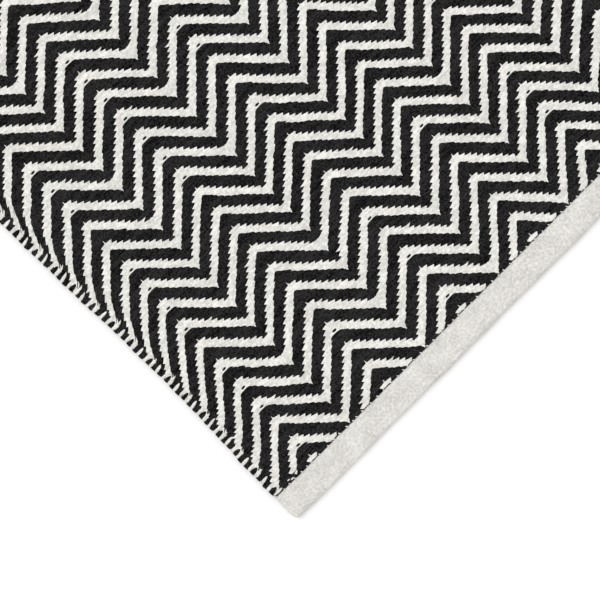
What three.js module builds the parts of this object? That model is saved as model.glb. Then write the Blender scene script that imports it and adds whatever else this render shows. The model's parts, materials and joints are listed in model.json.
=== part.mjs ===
// A flat-woven rug lying flat: one thick woven field whose long edges are made by the
// turning wefts, and a strip of canvas folded over each cut end and sewn down.
// Millimetres, +Z up, the origin under the middle of the rug. The wefts run along X
// and the warps along Y.
import * as THREE from "three";

// Driving dimensions
const RUG_WIDTH = 600;
const RUG_LENGTH = 900;
const CLOTH_THICKNESS = 5;
const BINDING_WIDTH = 24.7;
const BINDING_HEIGHT = 4.6;
const CANVAS_THICKNESS = 1;
const CORNER_RADIUS = 4;
const CLEARANCE = 0.3;

// The weave at the edges: a weft turns round the outermost warp once in two rows
const WEFT_ROWS = 235;
const ROWS_PER_TURN = 2;
const TURN_SCALLOP = 0.5;

// The pressed end of the cloth inside each binding
const TONGUE_THICKNESS = BINDING_HEIGHT - 2 * CANVAS_THICKNESS - 2 * CLEARANCE;
const TONGUE_SIDE_MARGIN = 1.5;
const TONGUE_END_MARGIN = 2.5;

// Steps of the curved surfaces
const EDGE_ARC_STEPS = 4;
const FOLD_ARC_STEPS = 6;
const CORNER_STEPS = 4;
const BINDING_STEP = 20;

// How far each selvedge is drawn in, at distances from the near end of the rug
const DRAWN_IN_LEFT = [
  { along: 0, inward: 0 },
  { along: 57, inward: 1.0 },
  { along: 108, inward: 3.3 },
  { along: 141, inward: 3.9 },
  { along: 214, inward: 3.5 },
  { along: 263, inward: 1.8 },
  { along: 340, inward: 0.9 },
  { along: 480, inward: 2.2 },
  { along: 640, inward: 1.2 },
  { along: 780, inward: 2.4 },
  { along: 900, inward: 0 },
];
const DRAWN_IN_RIGHT = [
  { along: 0, inward: 0 },
  { along: 130, inward: 2.0 },
  { along: 300, inward: 1.1 },
  { along: 470, inward: 2.6 },
  { along: 650, inward: 1.5 },
  { along: 790, inward: 2.8 },
  { along: 900, inward: 0 },
];

// The folded edge of a binding strays a little from a straight line
const FOLD_WAVES = [
  { length: 130, height: 0.25, shift: 0.6 },
  { length: 47, height: 0.15, shift: 2.1 },
];

const FIELD_END = RUG_LENGTH / 2 - BINDING_WIDTH - CLEARANCE;
const ROW_PITCH = (2 * FIELD_END) / WEFT_ROWS;

// The draw-in at a distance along the rug, on a smooth curve through the entries
function drawnIn(table, along) {
  const last = table.length - 1;
  const slopeAt = (k) => {
    const low = table[Math.max(0, k - 1)];
    const high = table[Math.min(last, k + 1)];
    return (high.inward - low.inward) / (high.along - low.along);
  };
  const next = Math.max(1, table.findIndex((entry) => entry.along >= along));
  const before = table[next - 1];
  const after = table[next];
  const span = after.along - before.along;
  const t = (along - before.along) / span;
  const rise = (3 - 2 * t) * t * t;
  const leave = slopeAt(next - 1) * span * t * (1 - t) * (1 - t);
  const arrive = slopeAt(next) * span * t * t * (1 - t);
  return before.inward + (after.inward - before.inward) * rise + leave - arrive;
}

// A closed solid through rings of points, each ring flat, with a flat cap on the first
// and the last; flatten turns a ring's point into two numbers for the cap
function loft(rings, flatten) {
  const size = rings[0].length;
  const points = rings.flat();
  const index = [];
  for (let ring = 0; ring + 1 < rings.length; ring += 1) {
    for (let k = 0; k < size; k += 1) {
      const a = ring * size + k;
      const b = ring * size + ((k + 1) % size);
      index.push(a, b, b + size, a, b + size, a + size);
    }
  }
  const contour = rings[0].map(flatten);
  const cap = THREE.ShapeUtils.triangulateShape(contour, []);
  const last = (rings.length - 1) * size;
  for (const [a, b, c] of cap) {
    index.push(a, c, b);
    index.push(last + a, last + b, last + c);
  }
  const geometry = new THREE.BufferGeometry();
  geometry.setAttribute("position", new THREE.Float32BufferAttribute(points.flatMap((p) => p.toArray()), 3));
  geometry.setIndex(index);
  geometry.computeVertexNormals();
  return geometry;
}

// One ring of the cloth across the rug: flat above and below, with half-round sides
function clothRing(y, left, right, bottom, top) {
  const radius = (top - bottom) / 2;
  const middle = (top + bottom) / 2;
  const ring = [];
  for (const [side, edge] of [[1, right], [-1, left]]) {
    for (let step = 0; step <= EDGE_ARC_STEPS; step += 1) {
      const angle = side * Math.PI * (step / EDGE_ARC_STEPS - 0.5);
      const x = edge - side * radius + side * radius * Math.cos(angle);
      ring.push(new THREE.Vector3(x, y, middle + radius * Math.sin(angle)));
    }
  }
  return ring;
}

// The woven field: full thickness between the bindings, pressed thin inside them
function wovenField() {
  const tongueEnd = RUG_LENGTH / 2 - CANVAS_THICKNESS - CLEARANCE - TONGUE_END_MARGIN;
  const tongueBottom = CANVAS_THICKNESS + CLEARANCE;
  const tongueTop = tongueBottom + TONGUE_THICKNESS;
  const tongueSide = RUG_WIDTH / 2 - TONGUE_SIDE_MARGIN;
  const tongueRing = (y) => clothRing(y, -tongueSide, tongueSide, tongueBottom, tongueTop);
  const rings = [tongueRing(-tongueEnd), tongueRing(-FIELD_END)];
  for (let row = 0; row <= WEFT_ROWS; row += 1) {
    const y = -FIELD_END + row * ROW_PITCH;
    const along = y + RUG_LENGTH / 2;
    const notch = row % ROWS_PER_TURN === 0 ? TURN_SCALLOP : 0;
    const left = -RUG_WIDTH / 2 + drawnIn(DRAWN_IN_LEFT, along) + notch;
    const right = RUG_WIDTH / 2 - drawnIn(DRAWN_IN_RIGHT, along) - notch;
    rings.push(clothRing(y, left, right, 0, CLOTH_THICKNESS));
  }
  rings.push(tongueRing(FIELD_END), tongueRing(tongueEnd));
  return loft(rings.reverse(), (p) => new THREE.Vector2(p.x, p.z));
}

// One ring of a binding: a strip folded round the cloth's end, open towards the field
function bindingRing(x, inner, outer) {
  const radius = BINDING_HEIGHT / 2;
  const floorOfChannel = CANVAS_THICKNESS;
  const roofOfChannel = BINDING_HEIGHT - CANVAS_THICKNESS;
  const endOfChannel = outer - CANVAS_THICKNESS - CLEARANCE;
  const ring = [
    new THREE.Vector3(x, inner, roofOfChannel),
    new THREE.Vector3(x, inner, BINDING_HEIGHT),
  ];
  for (let step = 0; step <= FOLD_ARC_STEPS; step += 1) {
    const angle = Math.PI * (0.5 - step / FOLD_ARC_STEPS);
    const y = outer - radius + radius * Math.cos(angle);
    ring.push(new THREE.Vector3(x, y, radius + radius * Math.sin(angle)));
  }
  ring.push(
    new THREE.Vector3(x, inner, 0),
    new THREE.Vector3(x, inner, floorOfChannel),
    new THREE.Vector3(x, endOfChannel, floorOfChannel),
    new THREE.Vector3(x, endOfChannel, roofOfChannel),
  );
  return ring;
}

// Where the rings of a binding stand: even steps, and closer ones round each corner
function bindingStations() {
  const straightEnd = RUG_WIDTH / 2 - CORNER_RADIUS;
  const steps = Math.round((2 * straightEnd) / BINDING_STEP);
  const stations = [];
  for (let step = 0; step <= steps; step += 1) {
    stations.push(-straightEnd + (2 * straightEnd * step) / steps);
  }
  for (let step = 1; step <= CORNER_STEPS; step += 1) {
    const past = CORNER_RADIUS * Math.sin((0.5 * Math.PI * step) / CORNER_STEPS);
    stations.push(straightEnd + past);
    stations.unshift(-straightEnd - past);
  }
  return stations;
}

// A binding at the +Y end; the other end's is the same one turned half round
function endBinding() {
  const inner = RUG_LENGTH / 2 - BINDING_WIDTH;
  const straightEnd = RUG_WIDTH / 2 - CORNER_RADIUS;
  const rings = bindingStations().map((x) => {
    const past = Math.max(0, Math.abs(x) - straightEnd);
    const rounding = CORNER_RADIUS - Math.sqrt(Math.max(0, CORNER_RADIUS ** 2 - past ** 2));
    const stray = FOLD_WAVES.reduce(
      (sum, wave) => sum + wave.height * (1 - Math.cos((2 * Math.PI * x) / wave.length + wave.shift)),
      0,
    );
    return bindingRing(x, inner, RUG_LENGTH / 2 - rounding - stray);
  });
  return loft(rings.reverse(), (p) => new THREE.Vector2(p.z, p.y));
}

function piece(name, geometry, material) {
  const mesh = new THREE.Mesh(geometry, material);
  mesh.name = name;
  return mesh;
}

const weftYarn = new THREE.MeshStandardMaterial({ color: 0x27282b, roughness: 0.95, metalness: 0 });
const nearCanvas = new THREE.MeshStandardMaterial({ color: 0xe1dfda, roughness: 0.9, metalness: 0 });
const farCanvas = nearCanvas.clone();

const rug = new THREE.Group();
rug.add(piece("woven_field", wovenField(), weftYarn));

const farBinding = piece("end_binding_far", endBinding(), farCanvas);
rug.add(farBinding);

const nearBinding = piece("end_binding_near", endBinding(), nearCanvas);
nearBinding.rotation.z = Math.PI;
rug.add(nearBinding);

export default rug;
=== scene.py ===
"""Dresses a flat-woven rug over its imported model.

The face and the underside are laid yarn by yarn, as a pointed twill of one light and one
dark weft. The wefts turn round the outer warps, and a strip of canvas is folded over each
end and sewn down.
"""

import json
import math

import bpy
import numpy as np
from bpy.props import FloatProperty, FloatVectorProperty, IntProperty, PointerProperty
from mathutils import Matrix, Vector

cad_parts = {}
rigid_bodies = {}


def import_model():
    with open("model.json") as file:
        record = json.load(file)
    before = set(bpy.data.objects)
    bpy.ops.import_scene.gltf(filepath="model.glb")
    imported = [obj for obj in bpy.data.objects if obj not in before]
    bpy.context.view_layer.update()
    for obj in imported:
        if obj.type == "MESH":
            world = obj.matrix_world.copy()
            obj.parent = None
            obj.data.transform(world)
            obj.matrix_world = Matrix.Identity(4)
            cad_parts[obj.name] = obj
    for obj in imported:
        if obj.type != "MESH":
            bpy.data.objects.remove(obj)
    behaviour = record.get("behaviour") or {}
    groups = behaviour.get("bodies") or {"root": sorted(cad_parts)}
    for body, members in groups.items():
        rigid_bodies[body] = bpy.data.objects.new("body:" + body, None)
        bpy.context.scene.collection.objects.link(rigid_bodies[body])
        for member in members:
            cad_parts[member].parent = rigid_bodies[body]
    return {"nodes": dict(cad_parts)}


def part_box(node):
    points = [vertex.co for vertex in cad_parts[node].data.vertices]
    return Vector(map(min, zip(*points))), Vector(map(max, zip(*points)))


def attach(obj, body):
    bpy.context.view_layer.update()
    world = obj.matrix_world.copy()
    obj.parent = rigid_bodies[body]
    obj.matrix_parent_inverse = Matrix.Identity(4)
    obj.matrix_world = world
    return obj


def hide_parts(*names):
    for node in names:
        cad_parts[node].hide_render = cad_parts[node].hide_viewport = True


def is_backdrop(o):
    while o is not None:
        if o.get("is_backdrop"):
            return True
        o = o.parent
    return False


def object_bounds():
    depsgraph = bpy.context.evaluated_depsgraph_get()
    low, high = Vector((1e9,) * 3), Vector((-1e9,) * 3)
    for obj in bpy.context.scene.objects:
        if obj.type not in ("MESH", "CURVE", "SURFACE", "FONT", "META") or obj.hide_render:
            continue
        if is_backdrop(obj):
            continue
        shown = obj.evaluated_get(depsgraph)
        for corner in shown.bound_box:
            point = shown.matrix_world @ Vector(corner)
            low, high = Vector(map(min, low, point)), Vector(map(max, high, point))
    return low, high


bl_info = {
    "name": "Kilim Rug",
    "version": (1, 0, 0),
    "blender": (4, 5, 0),
    "location": "3D View > Sidebar > Kilim Rug",
    "description": "Lays the weft, the selvedges and the bound ends of a flat-woven rug",
    "category": "Add Mesh",
}

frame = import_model()
CAD_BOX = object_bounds()

MM = 0.001
NEAR_BINDING = "end_binding_near"
FAR_BINDING = "end_binding_far"
FIELD = "woven_field"

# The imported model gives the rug's outline and the room between the two bindings
BINDING_GAP = 0.3 * MM
RUG_LOW, RUG_HIGH = (np.array(corner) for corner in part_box(FIELD))
WOVEN_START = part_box(NEAR_BINDING)[1][1] + BINDING_GAP
WOVEN_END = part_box(FAR_BINDING)[0][1] - BINDING_GAP
RUG_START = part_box(NEAR_BINDING)[0][1]
CLOTH_TOP = RUG_HIGH[2]
BINDING_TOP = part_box(NEAR_BINDING)[1][2]
HALF_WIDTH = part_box(NEAR_BINDING)[1][0]

# The twill: three columns of each yarn, six rows to a repeat, turning every eleven columns.
# Two more warps at each selvedge carry the zigzag on past its last turn.
TWILL_ROWS = 6
POINT_COLUMNS = 11
ZIGZAGS = 7
EDGE_COLUMNS = 2
COLUMNS = 2 * POINT_COLUMNS * ZIGZAGS + 1 + 2 * EDGE_COLUMNS
WARP_PITCH = 3.85 * MM
OUTER_EDGE = COLUMNS / 2 * WARP_PITCH

# The outline of one float, on five lines across the yarn: each line's place in rows from the
# float's own middle, and how far it stops short of the run's nominal end in columns. The
# leading yarn has the toothed upper edge, and the following yarn fills in below it.
LEADING_LINES = (-0.50, 0.08, 0.22, 0.36, 0.54)
LEADING_TOOTH = (0.46, -0.04, 0.42, 0.86, 1.42)
LONG_TOOTH = (0.46, -0.65, 0.50, 0.90, 1.45)
LEADING_SLOPE = (0.17, -0.39, -0.53, -0.67, -0.85)
FOLLOWING_LINES = (-0.42, -0.20, 0.01, 0.28, 0.58)
FOLLOWING_TOOTH = (0.85, 0.10, -0.65, -0.42, -0.12)
FOLLOWING_SLOPE = (-1.01, -0.99, -0.88, -0.53, 0.03)
ROOF_END = (0.35, -0.10, 0.15, 1.38, 1.45)
TUCKED_END = (0.25, 0.20, 0.20, 0.20, 0.25)
LINE_HEIGHTS = (0.95, 1.0, 1.01, 1.0, 0.95)
LONG_CHANCE = 0.04

# The floats of the underside keep only these of the five lines
PLAIN_LINES = (0, 2, 4)

# How far a float spreads past its outline, the least length of a line and the length of the
# rise at its ends, in columns and rows, and the height that its ends start from
SPREAD = 0.06
LEAST_LINE = 0.1
END_EASE = 0.12
END_FOOT = 0.4 * MM

# A float rises a little where its end lies over the other yarn, and sinks where it goes under
OVER = 1.06
UNDER = 0.92

# How high the floats of the underside are against those of the face
UNDERSIDE_SHARE = 0.9

# The small forms where the zigzag turns, as points in columns and rows
SPEAR = ((-1.85, -0.5), (1.85, -0.5), (1.52, -0.12), (1.06, 0.16), (0.88, 0.36), (0.55, 0.74), (0.0, 1.08),
         (-0.55, 0.74), (-0.88, 0.36), (-1.06, 0.16), (-1.52, -0.12))
SHOULDER = ((-1.8, -0.5), (1.8, -0.5), (1.55, -0.2), (1.15, 0.0), (0.6, 0.08), (-0.6, 0.08), (-1.15, 0.0),
            (-1.55, -0.2))
ARCH = ((-1.5, -0.3), (0.0, -0.1), (1.5, -0.3), (0.9, 0.7), (0.0, 1.2), (-0.9, 0.7))
TICK = ((-0.2, -0.8), (0.2, -0.8), (0.10, -0.45), (0.045, 0.06), (-0.045, 0.06), (-0.10, -0.45))
TAIL = ((-0.05, -0.62), (0.05, -0.62), (0.16, -0.3), (0.3, 0.0), (-0.3, 0.0), (-0.16, -0.3))
TIP = ((-1.5, -0.72), (1.5, -0.72), (0.9, -0.2), (0.5, 0.3), (-0.5, 0.3), (-0.9, -0.2))
DROP = ((-0.55, -0.14), (0.55, -0.14), (0.86, 0.04), (0.82, 0.22), (0.5, 0.42), (0.9, 0.75), (-0.9, 0.75),
        (-0.5, 0.42), (-0.82, 0.22), (-0.86, 0.04))
NOTCH = ((-0.85, -0.1), (0.85, -0.1), (0.62, 0.5), (0.3, 0.66), (-0.3, 0.66), (-0.62, 0.5))

# Each small form has its outline, the heights of its middle and of its rim against a float's,
# and how far it spreads past the outline
SMALL_FORMS = {
    "tip": (TIP, 0.85, 0.3, SPREAD),
    "tick": (TICK, 1.15, 0.9, 0.0),
    "shoulder": (SHOULDER, OVER, 1.0, 0.0),
    "arch": (ARCH, 0.98, 0.94, 0.0),
    "spear": (SPEAR, OVER, 1.0, 0.0),
    "tail": (TAIL, 1.14, 1.08, 0.0),
    "notch": (NOTCH, 1.0, 0.5, SPREAD),
    "drop": (DROP, 1.12, OVER, 0.0),
}

# The dark spot inside a light line: the middle, the half width and the half height of its oval,
# and the heights of its middle and of its rim
SPOT = ((0, 0.62), 0.58, 0.27)
SPOT_HEIGHTS = (1.15, 1.02)

# The rows of the peaks that have such a spot, by column. The other peaks have it by chance,
# and so has a valley a notch instead of a drop.
OVAL_PEAKS = {11: (4, 16, 22, 28, 40, 46, 52, 58), 33: (16,), 55: (4, 16, 28)}
CHARTED_COLUMNS = 60
CHARTED_ROWS = 62
OVAL_CHANCE = 0.4
NOTCH_CHANCE = 0.15

# Beside the corner a light float is missed in one row, at these columns. Bits of light yarn
# show there instead, each with its column and row, half its width and half its height.
MISSED_ROW = 0
MISSED_COLUMNS = (4, 5)
FLECKS = ((-0.9, -0.62, 1.6, 0.35), (3.5, 0.05, 0.4, 0.16), (4.3, -0.36, 0.5, 0.2))
FLECK_HEIGHT = 1.2

# The turns of each weft at a selvedge: the first one's row, half its width and how far it
# stands proud in millimetres, and for each turn of a repeat its share of the full length and
# how far it leans
TURN_FORMS = {
    "dark": (0, 2.3, 0.35, ((0.72, 0.0), (1.0, 0.16), (1.0, 0.03))),
    "light": (1, 1.65, 0.0, ((0.9, 0.02), (0.85, 0.1), (0.95, 0.0))),
}

# Pairs of a column of warps, counted from the middle, and its place across the rug in
# millimetres
WARP_PLACES = (
    (-82, -308), (-77, -293), (-66, -256), (-55, -214), (-33, -128), (-11, -44),
    (11, 36), (33, 117), (55, 206), (77, 293), (82, 308),
)

# How far the cloth strays, as pairs of a distance and a shift in millimetres. The distance is
# from the near end, and for ACROSS_RISE from the middle of the rug.
EDGE_RISE = ((0, 0), (50, 3), (80, 2), (110, 0), (900, 0))
LEFT_PULL = ((0, 0), (50, 0), (150, 1.5), (250, 4), (300, 4), (450, 1.5), (600, 2.5), (750, 1), (900, 0))
LEFT_RISE = ((0, 0), (40, 0), (110, -1.5), (200, 0), (270, 0), (330, 3), (400, 3), (550, 0), (900, 0))
ROW_RISE = (
    (0, 0), (40, 0), (70, 1), (150, 2.5), (250, 0.5), (310, 3), (390, 4), (550, -1), (700, 1),
    (860, 0), (900, 0),
)
ACROSS_RISE = ((-300, 0), (-50, 0), (0, 1), (80, 3), (150, 1.5), (300, 0))

# Where each stray fades out or in, as distances from a selvedge or from a binding
EDGE_REACH = (6 * MM, 18 * MM)
PULL_REACH = (3 * MM, 36 * MM)
LEFT_PULL_REACH = (20 * MM, 230 * MM)
INSIDE_REACH = (60 * MM, 115 * MM)
BINDING_REACH = (0, 25 * MM)

# Small ripples, each with a length and a height in millimetres and a phase, and how much they
# slant along and across the rug
RIPPLES = ((71, 0.22, 0.4), (43, 0.16, 2.2), (27, 0.12, 4.1))
RIPPLE_SLANTS = (0.31, 0.23)

# How far the ends of the wefts may reach towards a binding
BINDING_TUCK = 0.2 * MM

# The warps, as one sheet: how many columns it stops short of the outermost, its steps, and the
# length, the underside and the upper side of its tongue inside a binding
WARP_MARGIN = 1.1
WARP_STEPS = (61, 121)
TONGUE_LENGTH = 19 * MM
TONGUE_SHOULDER = 1 * MM
TONGUE_SIDE = 2 * MM
TONGUE_HEIGHTS = (1.4 * MM, 3.2 * MM)

# The folded canvas: its flat width, its rounded corner, its steps across the rug and round the
# fold, how far its raw edge bulges, and where its points lie along the upper and lower side
BINDING_CORNER = 4 * MM
STRIP_STEPS = 480
FOLD_STEPS = 8
EDGE_BULGE = 0.12 * MM
UPPER_SHARES = (0.0, 0.03, 0.07, 0.13, 0.2, 0.3, 0.42, 0.56, 0.7, 0.85, 1.0)
LOWER_SHARES = (1.0, 0.75, 0.5, 0.3, 0.15, 0.06, 0.0)

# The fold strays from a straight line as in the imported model: a length, a height and a phase.
# The skin swells: lengths across and along the rug and a height. All in millimetres.
FOLD_WAVES = ((130, 0.25, 0.6), (47, 0.15, 2.1))
SWELLS = ((38, 21, 0.10), (19, 30, 0.07), (11, 9, 0.05), (6.5, 7, 0.035))

# The seam draws the canvas down and in at each stitch, and its edge wavers, each with a height
# and a reach from the seam
PUCKER = (0.28 * MM, 3.2 * MM)
SEAM_PULL = (0.2 * MM, 2 * MM)
SEAM_RIPPLE = (0.16 * MM, 1.2 * MM)
SEAM_RIPPLE_LENGTHS = (5.3 * MM, 23 * MM)
PUCKER_BETWEEN = -0.3

# How the stitches stray from even steps: a height, a length and a phase
SEAM_DRIFTS = ((1.5, 9.7, 0), (0.9, 4.3, 1))
STITCH_WIDTH = 0.95 * MM
STITCH_RISE = 0.55 * MM
STITCH_LEAN = 0.9
STITCH_SUNK = 0.1 * MM
STITCH_UNDER = 0.55 * MM
STITCH_SEED = 9

# How far the turns of the selvedges stay from a binding
TURN_MARGIN = 1.3 * MM
TURN_SEED = 5


def length_setting(name, description, default):
    """A length that the panel shows."""
    return FloatProperty(name=name, description=description, default=default, unit="LENGTH", precision=5)


def angle_setting(name, description, degrees):
    """An angle that the panel shows."""
    return FloatProperty(name=name, description=description, default=math.radians(degrees), subtype="ANGLE")


def colour_setting(name, description, default):
    """A colour that the panel shows."""
    return FloatVectorProperty(name=name, description=description, default=default, subtype="COLOR")


class RugWeave(bpy.types.PropertyGroup):
    """Sizes of the woven field."""

    weft_rows: IntProperty(
        name="Weft rows", description="Pairs of a dark and a light pick", default=235, min=TWILL_ROWS
    )
    pick_offset: length_setting(
        "Pick offset", "How far the light pick lies past the middle of its row", 0.95 * MM
    )
    core_bottom: length_setting("Core bottom", "Underside of the warps", 0.6 * MM)
    core_top: length_setting("Core top", "Upper side of the warps", 4.4 * MM)
    turn_rows: IntProperty(
        name="Rows to a turn", description="Rows from one selvedge turn to the next", default=2
    )
    turn_length: length_setting("Turn length", "How far a selvedge turn reaches inwards", 14.5 * MM)
    seed: IntProperty(name="Seed", description="Seed of the hand-laid variation", default=7)


class RugYarn(bpy.types.PropertyGroup):
    """Colours of the yarns."""

    # The deep colours stand partly for the wool's own darker fibres and mottle, and partly for painted shade
    # where the fibre relief sinks
    light_deep: colour_setting(
        "Light yarn, deep", "Off-white wool in its darkest fibres", (0.58, 0.567, 0.53)
    )
    light_pale: colour_setting("Light yarn, pale", "Off-white wool in its palest fibres", (0.86, 0.845, 0.80))
    dark_deep: colour_setting("Dark yarn, deep", "Black wool in its darkest fibres", (0.0004, 0.0004, 0.0004))
    dark_pale: colour_setting("Dark yarn, pale", "Black wool in its palest fibres", (0.034, 0.0335, 0.0335))
    # The warps show only in the gaps between floats, and their colour is kept nearly black there as painted
    # shade in those gaps
    warp: colour_setting("Warp", "Cotton warp between the wefts", (0.05, 0.048, 0.045))
    # The thread's deep colour is not tied to its folds: it is blended as for the yarn, by random tone, mottle
    # and fibre relief, the last in part a painted shade where the fibres sink
    thread_deep: colour_setting("Sewing thread, deep", "Sewing thread in its folds", (0.62, 0.61, 0.58))
    thread_pale: colour_setting("Sewing thread, pale", "Sewing thread on top", (0.8, 0.79, 0.76))


class RugCanvas(bpy.types.PropertyGroup):
    """Sizes and colours of the bound ends."""

    thickness: length_setting("Thickness", "Thickness of the canvas", 1.0 * MM)
    thread_pitch: length_setting("Thread pitch", "Distance between two threads of the canvas", 0.95 * MM)
    stitch_pitch: length_setting("Stitch pitch", "Distance between two seam stitches", 7.2 * MM)
    stitch_length: length_setting("Stitch length", "Length of one seam stitch", 3.2 * MM)
    # The deep canvas colour stands partly for painted shade between the threads and partly for slubs and
    # soiled patches; the pale one is the canvas itself
    deep: colour_setting("Canvas, deep", "Undyed canvas between its threads", (0.36, 0.345, 0.315))
    pale: colour_setting("Canvas, pale", "Undyed canvas on top of its threads", (0.95, 0.93, 0.885))


class RugStage(bpy.types.PropertyGroup):
    """The floor, the light and the camera."""

    floor_size: length_setting("Floor size", "Side of the floor", 8.0)
    floor_colour: colour_setting("Floor", "Pale floor", (0.95, 0.95, 0.95))
    daylight: FloatProperty(name="Daylight", description="Strength of the even light", default=0.86)
    lamp: FloatProperty(name="Lamp", description="Strength of the soft lamp", default=1.15)
    lamp_size: angle_setting("Lamp size", "How wide the soft lamp looks", 50)
    view_width: length_setting("View width", "Width of the floor in view", 485 * MM)
    view_x: length_setting("View X", "Middle of the view", -172.8 * MM)
    view_y: length_setting("View Y", "Middle of the view", -325.8 * MM)
    view_turn: angle_setting("View turn", "How far the picture is turned", -45)
    camera_height: length_setting("Camera height", "Height of the camera", 6.0)


# Node helpers

def live_socket(sockets, key):
    """The socket with this index, or the enabled one with this name."""
    if isinstance(key, int):
        return sockets[key]
    return next(socket for socket in sockets if socket.name == key and socket.enabled)


def add_node(tree, kind, values=None, **settings):
    """A new node with its settings made, and its inputs set or linked."""
    node = tree.nodes.new(kind)
    for name, value in settings.items():
        setattr(node, name, value)
    for key, value in (values or {}).items():
        socket = live_socket(node.inputs, key)
        if isinstance(value, bpy.types.NodeSocket):
            tree.links.new(value, socket)
        else:
            socket.default_value = value
    return node


def calculate(tree, operation, first, second=0.0):
    """The result of one step of arithmetic."""
    return add_node(tree, "ShaderNodeMath", {0: first, 1: second}, operation=operation).outputs[0]


def calculate_vector(tree, operation, first, second):
    """The result of one step of arithmetic with two vectors."""
    return add_node(tree, "ShaderNodeVectorMath", {0: first, 1: second}, operation=operation).outputs[0]


def scale_vector(tree, vector, factor):
    """A vector times a number."""
    return add_node(tree, "ShaderNodeVectorMath", {0: vector, "Scale": factor}, operation="SCALE").outputs[0]


def weighted_sum(tree, *terms):
    """The sum of values, each times its weight."""
    total = None
    for value, weight in terms:
        part = calculate(tree, "MULTIPLY", value, weight)
        total = part if total is None else calculate(tree, "ADD", total, part)
    return total


def blend_colours(tree, share, first, second):
    """A colour between two others."""
    values = {0: share, 6: (*first[:3], 1.0), 7: (*second[:3], 1.0)}
    return add_node(tree, "ShaderNodeMix", values, data_type="RGBA").outputs[2]


def spread_between(tree, value, low, high):
    """A value stretched so that low becomes 0 and high becomes 1, and kept between them."""
    values = {"Value": value, "From Min": low, "From Max": high}
    return add_node(tree, "ShaderNodeMapRange", values).outputs[0]


def add_noise(tree, vector, scale, detail, roughness=0.5):
    """A noise over a vector, as a node."""
    values = {"Vector": vector, "Scale": scale, "Detail": detail, "Roughness": roughness}
    return add_node(tree, "ShaderNodeTexNoise", values)


def add_inputs(tree, sockets):
    """Gives a tree its named inputs, each with its type and its default or None."""
    for name, socket_type, default in sockets:
        socket = tree.interface.new_socket(name, in_out="INPUT", socket_type=socket_type)
        if default is not None:
            socket.default_value = default


# Effects that several materials share. Each function fills a node group and returns the values
# of its outputs.

def spun_fibre(group, given):
    """Fine fibres that run along X and lean by the yarn's twist. The fibre mask follows the height, so a
    colour taken from it is darker where the fibres sink, in part a painted shade.
    """
    turn = add_node(group, "ShaderNodeCombineXYZ", {"Z": given["Twist"]}).outputs[0]
    moved = add_node(group, "ShaderNodeCombineXYZ", {"Z": given["Shift"]}).outputs[0]
    placed = calculate_vector(group, "ADD", given["Vector"], moved)
    drawn_out = (0.14, 1.0, 1.0)
    aligned = add_node(
        group, "ShaderNodeMapping", {"Vector": placed, "Rotation": turn, "Scale": drawn_out}
    ).outputs[0]
    scaled = scale_vector(group, aligned, given["Fibres per metre"])
    fine = add_noise(group, scaled, 1.0, 3.0, 0.6).outputs[0]
    coarse = add_noise(group, scaled, 0.32, 1.0).outputs[0]
    both = weighted_sum(group, (fine, 0.6), (coarse, 0.4))
    # The fibre mask and the height come from one noise, so a colour from the mask is darker where the relief
    # sinks: in part painted shade
    return {"Fibre": spread_between(group, both, 0.34, 0.66), "Height": both}


def mottled_tone(group, given):
    """Soft uneven tone, as of hand-dyed or undyed yarn."""
    scaled = scale_vector(group, given["Vector"], given["Patches per metre"])
    patches = add_noise(group, scaled, 1.0, 4.0, 0.65).outputs[0]
    return {"Tone": spread_between(group, patches, 0.3, 0.7)}


def plain_weave(group, given):
    """Over and under threads of a plain weave, from a vector in metres along the strip."""
    scaled = scale_vector(group, given["Vector"], given["Threads per metre"])
    wander = add_noise(group, scaled, 0.21, 2.0).outputs["Color"]
    strayed = calculate_vector(group, "ADD", scaled, scale_vector(group, wander, given["Unevenness"]))
    split = add_node(group, "ShaderNodeSeparateXYZ", {0: strayed}).outputs
    along, across = (
        calculate(group, "SINE", calculate(group, "MULTIPLY", split[axis], math.pi)) for axis in (0, 1)
    )
    on_top = spread_between(group, calculate(group, "MULTIPLY", along, across), -0.35, 0.35)
    thread_a, thread_b = (
        calculate(group, "POWER", calculate(group, "ABSOLUTE", wave), 0.6) for wave in (along, across)
    )
    first = calculate(group, "MULTIPLY", thread_a, on_top)
    second = calculate(group, "MULTIPLY", thread_b, calculate(group, "SUBTRACT", 1.0, on_top))
    return {"Height": calculate(group, "ADD", first, second)}


EFFECTS = {
    "Spun fibre": (spun_fibre, (
        ("Vector", "NodeSocketVector", None),
        ("Fibres per metre", "NodeSocketFloat", 2600.0),
        ("Twist", "NodeSocketFloat", 0.45),
        ("Shift", "NodeSocketFloat", 0.0),
    ), ("Fibre", "Height")),
    "Mottled tone": (mottled_tone, (
        ("Vector", "NodeSocketVector", None),
        ("Patches per metre", "NodeSocketFloat", 40.0),
    ), ("Tone",)),
    "Plain weave": (plain_weave, (
        ("Vector", "NodeSocketVector", None),
        ("Threads per metre", "NodeSocketFloat", 1050.0),
        ("Unevenness", "NodeSocketFloat", 0.5),
    ), ("Height",)),
}


def effect_group(name):
    """The node group of a shared effect, made once."""
    if name in bpy.data.node_groups:
        return bpy.data.node_groups[name]
    fill, inputs, outputs = EFFECTS[name]
    group = bpy.data.node_groups.new(name, "ShaderNodeTree")
    add_inputs(group, inputs)
    for output in outputs:
        group.interface.new_socket(output, in_out="OUTPUT", socket_type="NodeSocketFloat")
    start = group.nodes.new("NodeGroupInput")
    end = group.nodes.new("NodeGroupOutput")
    for output, value in fill(group, start.outputs).items():
        group.links.new(value, end.inputs[output])
    return group


def use_effect(tree, name, values):
    """The outputs of a shared effect placed in a material with its own values."""
    return add_node(tree, "ShaderNodeGroup", values, node_tree=effect_group(name)).outputs


# Materials

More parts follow.
